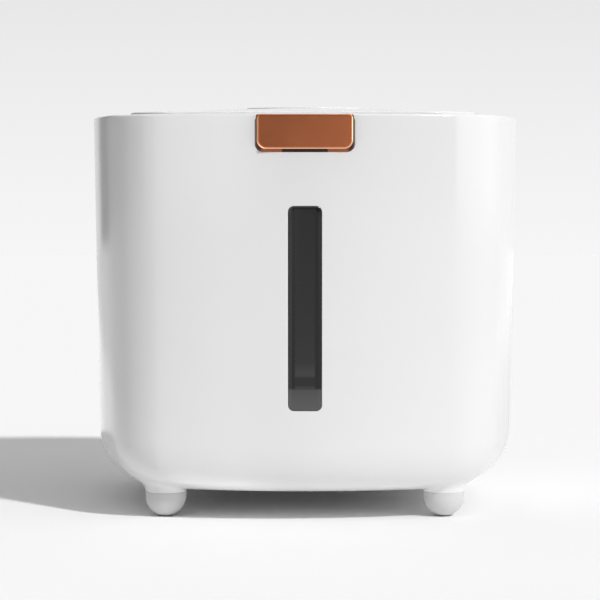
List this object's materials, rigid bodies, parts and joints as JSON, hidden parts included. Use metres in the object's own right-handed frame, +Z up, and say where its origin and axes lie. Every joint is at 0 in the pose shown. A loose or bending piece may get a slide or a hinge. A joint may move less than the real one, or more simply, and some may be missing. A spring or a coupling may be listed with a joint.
{
  "type": "pet food storage container",
  "caption": "White square-shouldered pet food bin on ball feet, with a tall smoked window, a hinged lid with a date dial, and a copper-brown snap latch.",
  "frame": {"origin": "on the floor, under the middle of the body", "axes": "+Z up, +X to the right seen from the front, -Y to the front, where the latch and the window are"},
  "size_m": [0.32, 0.3247, 0.2982],
  "materials": {
    "white_shell": "glossy white injection moulding",
    "white_trim": "glossy white",
    "white_lid": "glossy white",
    "white_inner": "satin white",
    "white_dial": "glossy white",
    "white_foot": "glossy white",
    "smoked_pane": "smoked clear plastic",
    "black_gasket": "matt black foam",
    "grey_pad": "matt grey",
    "silicone": "translucent milky silicone",
    "copper_brown": "glossy copper brown",
    "dark_inner": "dark brown",
    "screw_steel": "zinc-plated steel",
    "pin_steel": "bright steel",
    "spring_steel": "spring steel"
  },
  "bodies": {
    "base": {"body_shell": "white_shell", "window_pane": "smoked_pane", "window_gasket": "black_gasket", "foot_front_left": "white_foot", "foot_front_right": "white_foot", "foot_rear_left": "white_foot", "foot_rear_right": "white_foot", "foot_pad_front_left": "grey_pad", "foot_pad_front_right": "grey_pad", "foot_pad_rear_left": "grey_pad", "foot_pad_rear_right": "grey_pad", "foot_screws": "screw_steel", "top_frame": "white_trim", "top_frame_screws": "screw_steel", "hinge_pins": "pin_steel", "catch_clip": "spring_steel", "catch_screws": "screw_steel"},
    "lid": {"lid_cover": "white_lid", "lid_liner": "white_inner", "lid_seal": "silicone", "lid_screws": "screw_steel", "dial_bezel": "white_trim", "dial_washer": "pin_steel", "dial_screw": "screw_steel"},
    "latch": {"latch_cover": "copper_brown", "latch_hook": "dark_inner", "latch_pin": "pin_steel"},
    "day_ring": {"day_disc": "white_dial"},
    "month_ring": {"month_disc": "white_dial", "dial_cap": "white_dial"}
  },
  "joints": [
    {"name": "lid_hinge", "type": "hinge", "parent": "base", "child": "lid", "pos_m": [0, 0.1245, 0.29], "axis": [-1, 0, 0], "range_deg": [0, 100], "deforming": ["catch_clip"]},
    {"name": "latch_pivot", "type": "hinge", "parent": "lid", "child": "latch", "pos_m": [0, -0.1595, 0.287], "axis": [-1, 0, 0], "range_deg": [0, 70]},
    {"name": "day_turn", "type": "hinge", "parent": "lid", "child": "day_ring", "pos_m": [0, 0, 0.295], "axis": [0, 0, 1], "continuous": true},
    {"name": "month_turn", "type": "hinge", "parent": "lid", "child": "month_ring", "pos_m": [0, 0, 0.295], "axis": [0, 0, 1], "continuous": true}
  ]
}
